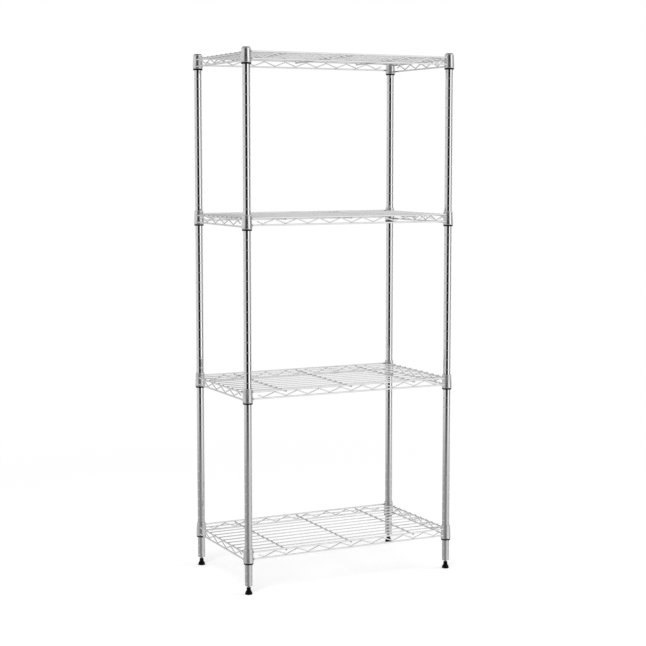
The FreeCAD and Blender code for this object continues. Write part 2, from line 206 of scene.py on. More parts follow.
def moulded_nylon():
    """Black moulded nylon: near black, with the fine spark-eroded grain of its mould.

    The grain is about 0.3 mm and is drawn at 0.6 mm, so that it shows as a soft break in the gloss.
    """
    grain_width = 0.6 * MM
    grain_depth = 0.03 * MM
    flow_mark = 9.0 * MM
    material, tree, place = new_material("black_moulded_nylon")
    grain = add(tree, "ShaderNodeTexNoise",
                {"Vector": place, "Scale": 1 / grain_width, "Detail": 2.0, "Roughness": 0.5})
    flow = add(tree, "ShaderNodeTexNoise",
               {"Vector": place, "Scale": 1 / flow_mark, "Detail": 2.0})
    tone = add(tree, "ShaderNodeMix", {0: flow, 6: linear("#030303"), 7: linear("#0A0A0B")},
               data_type="RGBA")
    gloss = add(tree, "ShaderNodeMapRange",
                {"Value": flow, "From Min": 0.3, "From Max": 0.7, "To Min": 0.36, "To Max": 0.5})
    bump = add(tree, "ShaderNodeBump",
               {"Strength": 0.35, "Distance": grain_depth, "Height": grain})
    shader = add(tree, "ShaderNodeBsdfPrincipled",
                 {"Base Color": tone.outputs[2], "Roughness": gloss, "IOR": 1.46,
                  "Specular IOR Level": 0.12, "Normal": bump})
    add(tree, "ShaderNodeOutputMaterial", {"Surface": shader})
    return material


def zinc_plate():
    """Bright zinc over a cut thread: a bluish grey metal, cloudier than chrome, in 2 mm blooms."""
    bloom_width = 2.0 * MM
    material, tree, place = new_material("zinc_plated_thread")
    bloom = add(tree, "ShaderNodeTexNoise",
                {"Vector": place, "Scale": 1 / bloom_width, "Detail": 3.0, "Roughness": 0.65})
    tone = add(tree, "ShaderNodeMix", {0: bloom, 6: linear("#B4B8BC"), 7: linear("#8F9292")},
               data_type="RGBA")
    gloss = add(tree, "ShaderNodeMapRange",
                {"Value": bloom, "From Min": 0.3, "From Max": 0.7, "To Min": 0.24, "To Max": 0.42})
    shader = add(tree, "ShaderNodeBsdfPrincipled",
                 {"Base Color": tone.outputs[2], "Metallic": 1.0, "Roughness": gloss})
    add(tree, "ShaderNodeOutputMaterial", {"Surface": shader})
    return material


CHROME_TUBE = chrome_plate("chrome_on_rolled_tube", "#CDCDCD", "#BFBFBF",
                           haze=14 * MM, wave=22 * MM, wave_height=0.05 * MM)
CHROME_WIRE = chrome_plate("chrome_on_drawn_wire", "#DCDCDC", "#CDCDCD",
                           haze=9 * MM, wave=12 * MM, wave_height=0.03 * MM)
CHROME_COLLAR = chrome_plate("chrome_on_pressed_steel", "#D1D1D1", "#C0C0C0",
                             haze=7 * MM, wave=9 * MM, wave_height=0.03 * MM, blur=(0.2, 0.34))
CHROME_WELD = chrome_plate("chrome_over_weld_metal", "#C6C6C6", "#ABABAB",
                           haze=2 * MM, wave=1.5 * MM, wave_height=0.05 * MM)
BLACK_NYLON = moulded_nylon()
ZINC_THREAD = zinc_plate()


# Meshes

def finish_piece(name, mesh, body, slot, *nodes):
    """Makes a finished mesh a piece of a body, in place of the model's nodes that it stands for."""
    mesh.name = name
    mesh.shade_smooth()
    mesh.set_sharp_from_angle(angle=SHARP_ANGLE)
    piece = bpy.data.objects.new(name, mesh)
    bpy.context.scene.collection.objects.link(piece)
    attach(piece, body)
    if nodes:
        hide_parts(*nodes)


def closed_mesh(shape, material):
    """A mesh of one material from a built shape, its doubles merged and its faces turned outwards."""
    bmesh.ops.remove_doubles(shape, verts=shape.verts, dist=MERGE_DISTANCE)
    bmesh.ops.dissolve_degenerate(shape, edges=shape.edges, dist=MERGE_DISTANCE)
    bmesh.ops.recalc_face_normals(shape, faces=shape.faces)
    mesh = bpy.data.meshes.new("turned")
    shape.to_mesh(mesh)
    shape.free()
    mesh.materials.append(material)
    return mesh


def turn_outline(shape, outline, centre, sides, start=0.0, sweep=TAU, closed=True):
    """Turns an outline of (radius, height) points about an upright axis, and returns its faces.

    A sweep of less than a whole turn gets flat ends, and a closed outline joins its last point to
    its first.
    """
    whole = sweep == TAU
    columns = []
    for step in range(sides if whole else sides + 1):
        angle = start + sweep * step / sides
        across = Vector((math.cos(angle), math.sin(angle), 0))
        columns.append([shape.verts.new(centre + across * radius + Vector((0, 0, height)))
                        for radius, height in outline])
    faces = []
    for step in range(sides):
        here = columns[step]
        there = columns[(step + 1) % len(columns)]
        for row in range(len(outline) if closed else len(outline) - 1):
            after = (row + 1) % len(outline)
            if outline[row][0] == 0 and outline[after][0] == 0:
                continue
            faces.append(shape.faces.new((here[row], there[row], there[after], here[after])))
    if not whole:
        faces.append(shape.faces.new(columns[0]))
        faces.append(shape.faces.new(columns[-1]))
    return faces


def arc(start, end, radius, steps=6):
    """Points from start to end on an arc that bulges away from the axis."""
    start, end = Vector(start), Vector(end)
    chord = end - start
    away = Vector((chord.y, -chord.x)).normalized()
    if away.x < 0:
        away = -away
    reach = math.sqrt(max(radius ** 2 - chord.length_squared / 4, 0.0))
    centre = (start + end) / 2 - away * reach
    first = start - centre
    turn = first.angle_signed(end - centre)
    points = []
    for step in range(steps + 1):
        angle = -turn * step / steps
        points.append((centre.x + first.x * math.cos(angle) - first.y * math.sin(angle),
                       centre.y + first.x * math.sin(angle) + first.y * math.cos(angle)))
    return points


def box_of(node):
    """Middle, lowest and highest corner of a node of the model."""
    low, high = (Vector(corner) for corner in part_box(node))
    return (low + high) / 2, low, high


def post_axis(corner):
    """The point of the floor under the middle of a post."""
    middle = box_of(f"post_{corner}")[0]
    return Vector((middle.x, middle.y, 0))


POST_LOW, POST_HIGH = box_of(f"post_{CORNERS[0]}")[1:]
POST_RADIUS = (POST_HIGH.x - POST_LOW.x) / 2
# The inside of a collar's taper, at its lower edge and at its shoulder
COLLAR_BORE_LOW = POST_RADIUS + SLEEVE_BOTTOM_WALL + TAPER_FIT
COLLAR_BORE_HIGH = POST_RADIUS + SLEEVE_TOP_WALL + TAPER_FIT


# Geometry Nodes

def growing_tree(name, inputs):
    """A tree with named inputs for its sizes; returns it and its input sockets."""
    tree = bpy.data.node_groups.new(name, "GeometryNodeTree")
    tree.interface.new_socket("Geometry", in_out="INPUT", socket_type="NodeSocketGeometry")
    for label, kind in inputs.items():
        tree.interface.new_socket(label, in_out="INPUT", socket_type=f"NodeSocket{kind}")
    tree.interface.new_socket("Geometry", in_out="OUTPUT", socket_type="NodeSocketGeometry")
    return tree, add(tree, "NodeGroupInput").outputs


def end_tree(tree, shape, finish):
    """Ends a tree: its instances made real, points that meet made one, and its material set."""
    real = add(tree, "GeometryNodeRealizeInstances", {"Geometry": shape})
    merged = add(tree, "GeometryNodeMergeByDistance", {"Geometry": real, "Distance": MERGE_DISTANCE})
    finished = add(tree, "GeometryNodeSetMaterial", {"Geometry": merged, "Material": finish})
    add(tree, "NodeGroupOutput", {"Geometry": finished})


def grow(tree, sizes, start=None):
    """The plain mesh that a tree grows with the given sizes, from a starting mesh where it has one."""
    holder = bpy.data.objects.new("growing", start or bpy.data.meshes.new("growing"))
    bpy.context.scene.collection.objects.link(holder)
    modifier = holder.modifiers.new("grow", "NODES")
    modifier.node_group = tree
    for socket in tree.interface.items_tree:
        if socket.in_out == "INPUT" and socket.name in sizes:
            modifier[socket.identifier] = sizes[socket.name]
    settled = bpy.context.evaluated_depsgraph_get()
    mesh = bpy.data.meshes.new_from_object(holder.evaluated_get(settled), depsgraph=settled)
    holder.modifiers.remove(modifier)
    bpy.data.objects.remove(holder)
    return mesh


ROW_INPUTS = {"Wire Radius": "Float", "Sides": "Int", "Count": "Int", "First": "Vector",
              "Step": "Vector", "Turn": "Float", "Finish": "Material"}


def end_in_a_row(tree, sizes, path, scale):
    """Gives a path the wire's round section and sets copies of it in a row, turned about Z."""
    section = add(tree, "GeometryNodeCurvePrimitiveCircle",
                  {"Resolution": sizes["Sides"], "Radius": sizes["Wire Radius"]})
    wire = add(tree, "GeometryNodeCurveToMesh",
               {"Curve": path, "Profile Curve": section, "Scale": scale, "Fill Caps": True})
    row = add(tree, "GeometryNodeMeshLine",
              {"Count": sizes["Count"], "Start Location": sizes["First"], "Offset": sizes["Step"]})
    about_z = add(tree, "ShaderNodeCombineXYZ", {"Z": sizes["Turn"]})
    turn = add(tree, "FunctionNodeEulerToRotation", {"Euler": about_z})
    copies = add(tree, "GeometryNodeInstanceOnPoints",
                 {"Points": row, "Instance": wire, "Rotation": turn})
    end_tree(tree, copies, sizes["Finish"])


def straight_wire_tree():
    """Straight wires along X in a row, each rounded over at both ends.

    Its points are the rings of the two ends, numbered 0.5, 1.5 and so on out from the middle. The
    first of an end has the full radius and stands in by End Depth. The last lies at the wire's
    end, where the round has turned by End Angle and leaves a small flat.
    """
    tree, sizes = growing_tree("straight_wires", {
        "Length": "Float", "End Depth": "Float", "End Angle": "Float", "End Rings": "Int",
        **ROW_INPUTS})
    count = add(tree, "ShaderNodeMath", {0: sizes["End Rings"], 1: 2.0}, operation="MULTIPLY")
    line = add(tree, "GeometryNodeMeshLine", {"Count": count})
    index = add(tree, "GeometryNodeInputIndex")
    middle = add(tree, "ShaderNodeMath", {0: sizes["End Rings"], 1: 0.5}, operation="SUBTRACT")
    number = add(tree, "ShaderNodeMath", {0: index, 1: middle}, operation="SUBTRACT")
    side = add(tree, "ShaderNodeMath", {0: number}, operation="SIGN")
    apart = add(tree, "ShaderNodeMath", {0: number}, operation="ABSOLUTE")
    ring = add(tree, "ShaderNodeMath", {0: apart, 1: 0.5}, operation="SUBTRACT")
    last = add(tree, "ShaderNodeMath", {0: sizes["End Rings"], 1: 1.0}, operation="SUBTRACT")
    share = add(tree, "ShaderNodeMath", {0: ring, 1: last}, operation="DIVIDE")
    angle = add(tree, "ShaderNodeMath", {0: share, 1: sizes["End Angle"]}, operation="MULTIPLY")
    sine = add(tree, "ShaderNodeMath", {0: angle}, operation="SINE")
    last_sine = add(tree, "ShaderNodeMath", {0: sizes["End Angle"]}, operation="SINE")
    done = add(tree, "ShaderNodeMath", {0: sine, 1: last_sine}, operation="DIVIDE")
    left = add(tree, "ShaderNodeMath", {0: 1.0, 1: done}, operation="SUBTRACT")
    set_in = add(tree, "ShaderNodeMath", {0: left, 1: sizes["End Depth"]}, operation="MULTIPLY")
    half = add(tree, "ShaderNodeMath", {0: sizes["Length"], 1: 2.0}, operation="DIVIDE")
    reach = add(tree, "ShaderNodeMath", {0: half, 1: set_in}, operation="SUBTRACT")
    along = add(tree, "ShaderNodeMath", {0: reach, 1: side}, operation="MULTIPLY")
    spot = add(tree, "ShaderNodeCombineXYZ", {"X": along})
    placed = add(tree, "GeometryNodeSetPosition", {"Geometry": line, "Position": spot})
    path = add(tree, "GeometryNodeMeshToCurve", {"Mesh": placed})
    scale = add(tree, "ShaderNodeMath", {0: angle}, operation="COSINE")
    end_in_a_row(tree, sizes, path, scale)
    return tree


def zigzag_tree():
    """Zigzag truss wires along X in a row: bends numbered out from the middle one.

    A bend's height follows the cosine of its number, and the two ends of the wire stop half a
    number past the last bend, where the cosine is nought.
    """
    tree, sizes = growing_tree("zigzag_wires", {
        "Last Bend": "Int", "Pitch": "Float", "Crest": "Float", "Bend Radius": "Float",
        "Bend Steps": "Int", **ROW_INPUTS})
    twice = add(tree, "ShaderNodeMath", {0: sizes["Last Bend"], 1: 2.0}, operation="MULTIPLY")
    count = add(tree, "ShaderNodeMath", {0: twice, 1: 3.0}, operation="ADD")
    middle = add(tree, "ShaderNodeMath", {0: sizes["Last Bend"], 1: 1.0}, operation="ADD")
    furthest = add(tree, "ShaderNodeMath", {0: sizes["Last Bend"], 1: 0.5}, operation="ADD")
    line = add(tree, "GeometryNodeMeshLine", {"Count": count})
    index = add(tree, "GeometryNodeInputIndex")
    number = add(tree, "ShaderNodeMath", {0: index, 1: middle}, operation="SUBTRACT")
    side = add(tree, "ShaderNodeMath", {0: number}, operation="SIGN")
    apart = add(tree, "ShaderNodeMath", {0: number}, operation="ABSOLUTE")
    limited = add(tree, "ShaderNodeMath", {0: apart, 1: furthest}, operation="MINIMUM")
    signed = add(tree, "ShaderNodeMath", {0: limited, 1: side}, operation="MULTIPLY")
    half_pitch = add(tree, "ShaderNodeMath", {0: sizes["Pitch"], 1: 2.0}, operation="DIVIDE")
    along = add(tree, "ShaderNodeMath", {0: signed, 1: half_pitch}, operation="MULTIPLY")
    angle = add(tree, "ShaderNodeMath", {0: signed, 1: math.pi}, operation="MULTIPLY")
    swing = add(tree, "ShaderNodeMath", {0: angle}, operation="COSINE")
    height = add(tree, "ShaderNodeMath", {0: swing, 1: sizes["Crest"]}, operation="MULTIPLY")
    spot = add(tree, "ShaderNodeCombineXYZ", {"X": along, "Z": height})
    placed = add(tree, "GeometryNodeSetPosition", {"Geometry": line, "Position": spot})
    path = add(tree, "GeometryNodeMeshToCurve", {"Mesh": placed})
    bent = add(tree, "GeometryNodeFilletCurve",
               {"Curve": path, "Count": sizes["Bend Steps"], "Radius": sizes["Bend Radius"],
                "Limit Radius": True}, mode="POLY")
    end_in_a_row(tree, sizes, bent, 1.0)
    return tree


def groove_row_tree():
    """Repeats one groove's length of tube up a post and joins it to the rest of the post."""
    tree, sizes = growing_tree("groove_row", {"Grooves": "Int", "Pitch": "Float", "Finish": "Material"})
    marked = add(tree, "GeometryNodeInputNamedAttribute", {"Name": "repeats"}, data_type="BOOLEAN")
    parted = add(tree, "GeometryNodeSeparateGeometry",
                 {"Geometry": sizes["Geometry"], "Selection": marked.outputs[0]}, domain="FACE")
    rise = add(tree, "ShaderNodeCombineXYZ", {"Z": sizes["Pitch"]})
    row = add(tree, "GeometryNodeMeshLine", {"Count": sizes["Grooves"], "Offset": rise})
    lengths = add(tree, "GeometryNodeInstanceOnPoints",
                  {"Points": row, "Instance": parted.outputs["Selection"]})
    whole = add(tree, "GeometryNodeJoinGeometry", {"Geometry": lengths})
    tree.links.new(parted.outputs["Inverted"], whole.inputs["Geometry"])
    end_tree(tree, whole, sizes["Finish"])
    return tree


def thread_tree():
    """An upright stud with a V thread: the depth of the V follows height less the turn about Z."""
    tree, sizes = growing_tree("threaded_stud", {
        "Length": "Float", "Radius": "Float", "Pitch": "Float", "Depth": "Float",
        "Chamfer": "Float", "Sides": "Int", "Rings": "Int", "Finish": "Material"})
    blank = add(tree, "GeometryNodeMeshCylinder",
                {"Vertices": sizes["Sides"], "Side Segments": sizes["Rings"],
                 "Radius": sizes["Radius"], "Depth": sizes["Length"]})
    spot = add(tree, "ShaderNodeSeparateXYZ", {0: add(tree, "GeometryNodeInputPosition")})
    round_z = add(tree, "ShaderNodeMath", {0: spot.outputs["Y"], 1: spot.outputs["X"]},
                  operation="ARCTAN2")
    turned = add(tree, "ShaderNodeMath", {0: round_z, 1: TAU}, operation="DIVIDE")
    climbed = add(tree, "ShaderNodeMath", {0: spot.outputs["Z"], 1: sizes["Pitch"]},
                  operation="DIVIDE")
    phase = add(tree, "ShaderNodeMath", {0: climbed, 1: turned}, operation="SUBTRACT")
    wave = add(tree, "ShaderNodeMath", {0: phase, 1: 0.5}, operation="PINGPONG")
    twice = add(tree, "ShaderNodeMath", {0: wave, 1: 2.0}, operation="MULTIPLY")
    cut = add(tree, "ShaderNodeMath", {0: twice, 1: sizes["Depth"]}, operation="MULTIPLY")
    half = add(tree, "ShaderNodeMath", {0: sizes["Length"], 1: 2.0}, operation="DIVIDE")
    height = add(tree, "ShaderNodeMath", {0: spot.outputs["Z"]}, operation="ABSOLUTE")
    to_end = add(tree, "ShaderNodeMath", {0: half, 1: height}, operation="SUBTRACT")
    bevel = add(tree, "ShaderNodeMath", {0: sizes["Chamfer"], 1: to_end}, operation="SUBTRACT")
    deepest = add(tree, "ShaderNodeMath", {0: cut, 1: bevel}, operation="MAXIMUM")
    share = add(tree, "ShaderNodeMath", {0: deepest, 1: sizes["Radius"]}, operation="DIVIDE")
    keep = add(tree, "ShaderNodeMath", {0: 1.0, 1: share}, operation="SUBTRACT")
    across = add(tree, "ShaderNodeCombineXYZ", {"X": keep, "Y": keep, "Z": 1.0})
    moved = add(tree, "ShaderNodeVectorMath",
                {0: add(tree, "GeometryNodeInputPosition"), 1: across}, operation="MULTIPLY")
    shaped = add(tree, "GeometryNodeSetPosition", {"Geometry": blank, "Position": moved})
    end_tree(tree, shaped, sizes["Finish"])
    return tree


def bead_tree():
    """Weld beads on the vertices of a mesh: small flattened lumps that differ a little in size."""
    tree, sizes = growing_tree("weld_beads", {
        "Half Size": "Vector", "Spread": "Float", "Seed": "Int", "Turn": "Float", "Splits": "Int",
        "Finish": "Material"})
    lump = add(tree, "GeometryNodeMeshIcoSphere",
               {"Radius": 1.0, "Subdivisions": sizes["Splits"]})
    least = add(tree, "ShaderNodeMath", {0: 1.0, 1: sizes["Spread"]}, operation="SUBTRACT")
    most = add(tree, "ShaderNodeMath", {0: 1.0, 1: sizes["Spread"]}, operation="ADD")
    chance = add(tree, "FunctionNodeRandomValue", {2: least, 3: most, "Seed": sizes["Seed"]},
                 data_type="FLOAT")
    size = add(tree, "ShaderNodeVectorMath", {0: sizes["Half Size"], "Scale": chance.outputs[1]},
               operation="SCALE")
    about_z = add(tree, "ShaderNodeCombineXYZ", {"Z": sizes["Turn"]})
    turn = add(tree, "FunctionNodeEulerToRotation", {"Euler": about_z})
    beads = add(tree, "GeometryNodeInstanceOnPoints",
                {"Points": sizes["Geometry"], "Instance": lump, "Rotation": turn, "Scale": size})
    end_tree(tree, beads, sizes["Finish"])
    return tree


STRAIGHT_WIRES = straight_wire_tree()
ZIGZAG_WIRES = zigzag_tree()
GROOVE_ROW = groove_row_tree()
THREADED_STUD = thread_tree()
WELD_BEADS = bead_tree()


# Posts, caps and feet

def groove_points(height):
    """One groove of a post, as (radius, height) points from its lower lip to its upper lip."""
    flank = [(POST_RADIUS - dip * GROOVE_DEPTH, reach * GROOVE_HALF_WIDTH)
             for reach, dip in GROOVE_FLANK]
    lower = [(radius, height - reach) for radius, reach in flank]
    upper = [(radius, height + reach) for radius, reach in reversed(flank[:-1])]
    return lower + upper


def make_post(corner):
    """A tube whose grooves repeat from the lowest one up; the last has its own length of tube."""
    low, high = POST_LOW.z, POST_HIGH.z
    grooves = int((high - low - GROOVE_FIRST) // GROOVE_PITCH)
    start = low + POST_END_ROUND
    repeat = [(POST_RADIUS, start), *groove_points(low + GROOVE_FIRST),
              (POST_RADIUS, start + GROOVE_PITCH)]
    top = start + grooves * GROOVE_PITCH
    bore = POST_RADIUS - POST_WALL
    rest = [(POST_RADIUS, top), *groove_points(low + GROOVE_FIRST + grooves * GROOVE_PITCH),
            (POST_RADIUS, high - POST_END_ROUND), (POST_RADIUS - POST_END_ROUND, high),
            (bore, high), (bore, low), (POST_RADIUS - POST_END_ROUND, low), (POST_RADIUS, start)]
    shape = bmesh.new()
    mark = shape.faces.layers.bool.new("repeats")
    for face in turn_outline(shape, repeat, post_axis(corner), POST_SIDES, closed=False):
        face[mark] = True
    turn_outline(shape, rest, post_axis(corner), POST_SIDES, closed=False)
    # both outlines run up the outside of the section, so their faces already point outwards
    blank = bpy.data.meshes.new("post_blank")
    shape.to_mesh(blank)
    shape.free()
    mesh = grow(GROOVE_ROW, {"Grooves": grooves, "Pitch": GROOVE_PITCH, "Finish": CHROME_TUBE}, blank)
    mesh.attributes.remove(mesh.attributes["repeats"])
    finish_piece(f"grooved_post_{corner}", mesh, "frame", "chrome_post", f"post_{corner}")


def make_cap(corner):
    """A thin plastic head as wide as the post, with a rounded edge, on a plug inside the tube."""
    node = f"post_cap_{corner}"
    top = box_of(node)[2].z
    seat = POST_HIGH.z + CAP_PLUG_GAP
    plug = POST_RADIUS - POST_WALL - CAP_PLUG_GAP
    outline = [(0, seat - CAP_PLUG_DEPTH), (plug, seat - CAP_PLUG_DEPTH), (plug, seat),
               (POST_RADIUS, seat),
               *arc((POST_RADIUS, top - CAP_EDGE_ROUND), (POST_RADIUS - CAP_EDGE_ROUND, top),
                    CAP_EDGE_ROUND),
               (0, top)]
    shape = bmesh.new()
    turn_outline(shape, outline, post_axis(corner), POST_SIDES)
    mesh = closed_mesh(shape, BLACK_NYLON)
    finish_piece(f"moulded_post_cap_{corner}", mesh, "frame", "black_plastic", node)


def make_pad(corner):
    """The bell of a levelling foot: a low rim, then a cone, eased at both ends, up to the neck."""
    node = f"foot_pad_{corner}"
    middle, low, high = box_of(node)
    rim = (high.x - low.x) / 2
    seat = box_of(f"foot_stud_{corner}")[1].z
    flank = []
    for step in range(FOOT_FLANK_STEPS + 1):
        share = step / FOOT_FLANK_STEPS
        eased = (1 - math.cos(math.pi * share)) / 2
        drawn_in = share + (eased - share) * FOOT_FLANK_EASE
        flank.append((rim + (FOOT_NECK_RADIUS - rim) * drawn_in,
                      FOOT_RIM_HEIGHT + (high.z - FOOT_NECK_HEIGHT - FOOT_RIM_HEIGHT) * share))
    outline = [(0, low.z),
               *arc((rim - FOOT_RIM_ROUND, low.z), (rim, low.z + FOOT_RIM_ROUND), FOOT_RIM_ROUND),
               *flank,
               *arc((FOOT_NECK_RADIUS, high.z - FOOT_NECK_ROUND),
                    (FOOT_NECK_RADIUS - FOOT_NECK_ROUND, high.z), FOOT_NECK_ROUND, steps=3),
               (FOOT_BORE_RADIUS, high.z), (FOOT_BORE_RADIUS, seat), (0, seat)]
    shape = bmesh.new()
    turn_outline(shape, outline, Vector((middle.x, middle.y, 0)), POST_SIDES)
    mesh = closed_mesh(shape, BLACK_NYLON)
    finish_piece(f"moulded_{node}", mesh, f"{corner}_foot_pad", "black_plastic", node)


def make_stud(corner):
    """The threaded stud that stands in a foot's bell and turns in the post's insert."""
    node = f"foot_stud_{corner}"
    middle, low, high = box_of(node)
    length = high.z - low.z
    rings = int(length / THREAD_PITCH * THREAD_RINGS_PER_TURN)
    mesh = grow(THREADED_STUD, {
        "Length": length, "Radius": (high.x - low.x) / 2, "Pitch": THREAD_PITCH,
        "Depth": THREAD_DEPTH, "Chamfer": STUD_CHAMFER, "Sides": STUD_SIDES, "Rings": rings,
        "Finish": ZINC_THREAD})
    mesh.transform(Matrix.Translation(middle))
    finish_piece(f"threaded_{node}", mesh, f"{corner}_foot_stud", "zinc_stud", node)


# Sleeves, collars and shelf wires

def make_sleeves(shelf):
    """Two tapered halves round each post, with a rim that shows as a black ring under the collar."""
    node = f"{shelf}_split_sleeves"
    low, high = (corner.z for corner in box_of(node)[1:])
    seat = box_of(f"{shelf}_collars")[1].z - TAPER_FIT
    bore = POST_RADIUS + SLEEVE_GAP
    rim = POST_RADIUS + SLEEVE_RIM_WALL
    edge = SLEEVE_EDGE_ROUND
    outline = [(bore, low),
               *arc((rim - edge, low), (rim, low + edge), edge, steps=3),
               *arc((rim, seat - edge / 2), (rim - edge / 2, seat), edge / 2, steps=2),
               (POST_RADIUS + SLEEVE_BOTTOM_WALL, seat),
               (POST_RADIUS + SLEEVE_TOP_WALL, high),
               (bore, high)]
    shape = bmesh.new()
    for corner in CORNERS:
        for half in (0, 1):
            first = math.pi * half - SLEEVE_HALF_TURN / 2
            turn_outline(shape, outline, post_axis(corner), COLLAR_SIDES // 2, first, SLEEVE_HALF_TURN)
    mesh = closed_mesh(shape, BLACK_NYLON)
    finish_piece(f"moulded_{node}", mesh, "frame", "black_plastic", node)


def collar_radius(height):
    """Outer radius of a collar's taper at a height above its lower edge."""
    low = COLLAR_BORE_LOW + COLLAR_WALL
    high = COLLAR_BORE_HIGH + COLLAR_WALL
    share = (height - COLLAR_FOOT_HEIGHT) / (COLLAR_TAPER_TOP - COLLAR_FOOT_HEIGHT)
    return low + (high - low) * min(max(share, 0), 1)


def make_collars(shelf):
    """Four pressed cones on the sleeves' taper, each drawn in over a shoulder to a lip at the post."""
    node = f"{shelf}_collars"
    low, top = (corner.z for corner in box_of(node)[1:])
    shoulder = top - COLLAR_SHOULDER
    lip = POST_RADIUS + COLLAR_LIP_GAP
    outer_low = COLLAR_BORE_LOW + COLLAR_WALL
    outline = [(COLLAR_BORE_LOW, low),
               *arc((outer_low - COLLAR_FOOT_INSET, low), (outer_low, low + COLLAR_FOOT_HEIGHT),
                    COLLAR_FOOT_ROUND),
               *arc((COLLAR_BORE_HIGH + COLLAR_WALL, shoulder), (lip + COLLAR_LIP_WALL, top),
                    COLLAR_SHOULDER_ROUND, steps=8),
               (lip, top), (lip, shoulder + COLLAR_LIP_WALL), (COLLAR_BORE_HIGH, shoulder)]
    shape = bmesh.new()
    for corner in CORNERS:
        turn_outline(shape, outline, post_axis(corner), COLLAR_SIDES)
    mesh = closed_mesh(shape, CHROME_COLLAR)
    finish_piece(f"chromed_{node}", mesh, shelf, "chrome_collar", node)


def evenly(low, high, count):
    """Places of a row, from the first to the last."""
    return [low + (high - low) * number / (count - 1) for number in range(count)]


def other(axis):
    """The level axis square to an axis."""
    return Y if axis == X else X


def turn_to(axis):
    """The turn about Z that lays a wire, grown along X, along an axis."""
    return 0.0 if axis == X else QUARTER_TURN


def make_wires(shelf, kind, along, count):
    """Straight wires along X or Y, spread evenly over the box of the node that they stand for."""
    node = f"{shelf}_{kind}"
    middle, low, high = box_of(node)
    radius = (high.z - low.z) / 2
    across = other(along)
    places = evenly(low[across] + radius, high[across] - radius, count)
    first = middle.copy()
    first[across] = places[0]
    step = Vector()
    step[across] = places[1] - places[0]
    mesh = grow(STRAIGHT_WIRES, {
        "Length": high[along] - low[along], "End Depth": WIRE_END_DEPTH,
        "End Angle": WIRE_END_ANGLE, "End Rings": WIRE_END_RINGS, "Wire Radius": radius,
        "Sides": WIRE_SIDES, "Count": count, "First": first, "Step": step,
        "Turn": turn_to(along), "Finish": CHROME_WIRE})
    finish_piece(f"chromed_{node}", mesh, shelf, "chrome_wire", node)


def rail_plane(shelf, run):
    """How far out from the middle of a shelf its long or end rails lie."""
    low, high = box_of(f"{shelf}_{run}_top_rails")[1:]
    radius = (high.z - low.z) / 2
    return high[other(RUNS[run])] - radius


def last_bend(shelf, run):
    """The number of the outermost bend of a zigzag, counted from its middle one."""
    low, high = box_of(f"{shelf}_{run}_zigzag_wires")[1:]
    along = RUNS[run]
    half = (high[along] - low[along]) / 2
    return int((half - ZIGZAG_PITCH[run] / 4) // (ZIGZAG_PITCH[run] / 2))


def make_zigzags(shelf, run):
    """The truss wires between the long or end rails: a long one dips in its middle, an end one rises."""
    node = f"{shelf}_{run}_zigzag_wires"
    middle, low, high = box_of(node)
    along = RUNS[run]
    across = other(along)
    plane = rail_plane(shelf, run)
    pitch = ZIGZAG_PITCH[run]
    radius = high[across] - plane
    rise = (high.z - low.z) / 2 - radius
    # a corner of the path stands out past its rounded bend, by more the steeper the wire runs
    slope = math.atan(4 * rise / pitch)
    for _ in range(SLOPE_STEPS):
        slope = math.atan(4 * (rise + ZIGZAG_BEND * (1 / math.cos(slope) - 1)) / pitch)
    crest = pitch / 4 * math.tan(slope)
    out = Vector()
    out[across] = plane
    mesh = grow(ZIGZAG_WIRES, {
        "Last Bend": last_bend(shelf, run), "Pitch": pitch,
        "Crest": -crest if run == "long" else crest,
        "Bend Radius": ZIGZAG_BEND, "Bend Steps": BEND_STEPS, "Wire Radius": radius,
        "Sides": WIRE_SIDES, "Count": len(SIDES), "First": middle - out, "Step": out * 2,
        "Turn": turn_to(along), "Finish": CHROME_WIRE})
    finish_piece(f"chromed_{node}", mesh, shelf, "chrome_wire", node)


def beads(points, half_size, turn, splits=BEAD_SPLITS):
    """Weld beads of one kind on a list of points, as a mesh."""
    start = bpy.data.meshes.new("bead_places")
    start.from_pydata([tuple(point) for point in points], [], [])
    return grow(WELD_BEADS, {"Half Size": half_size, "Spread": BEAD_SPREAD, "Seed": BEAD_SEED,
                             "Turn": turn, "Splits": splits, "Finish": CHROME_WELD}, start)


def crossing_points(shelf):
    """Where deck wires lie on the bars and end rails, and where bars meet the long rails."""
    deck_low, deck_high = box_of(f"{shelf}_deck_wires")[1:]
    bar_low, bar_high = box_of(f"{shelf}_cross_bars")[1:]
    deck_radius = (deck_high.z - deck_low.z) / 2
    bar_radius = (bar_high.z - bar_low.z) / 2
    rows = evenly(deck_low.y + deck_radius, deck_high.y - deck_radius, DECK_WIRES)
    bars = evenly(bar_low.x + bar_radius, bar_high.x - bar_radius, CROSS_BARS)
    end_plane = rail_plane(shelf, "end")
    long_plane = rail_plane(shelf, "long")
    points = [(x, y, deck_low.z) for x in (*bars, -end_plane, end_plane) for y in rows]
    points += [(x, side * long_plane, bar_high.z) for x in bars for side in SIDES]
    return points


def bend_points(shelf, run):
    """Where the bends of a zigzag touch the rails above and below it."""
    low, high = box_of(f"{shelf}_{run}_zigzag_wires")[1:]
    along = RUNS[run]
    plane = rail_plane(shelf, run)
    furthest = last_bend(shelf, run)
    points = []
    for number in range(-furthest, furthest + 1):
        dips = (number % 2 == 0) == (run == "long")
        for side in SIDES:
            point = Vector((0, 0, low.z if dips else high.z))
            point[along] = number * ZIGZAG_PITCH[run] / 2
            point[other(along)] = side * plane
            points.append(point)
    return points


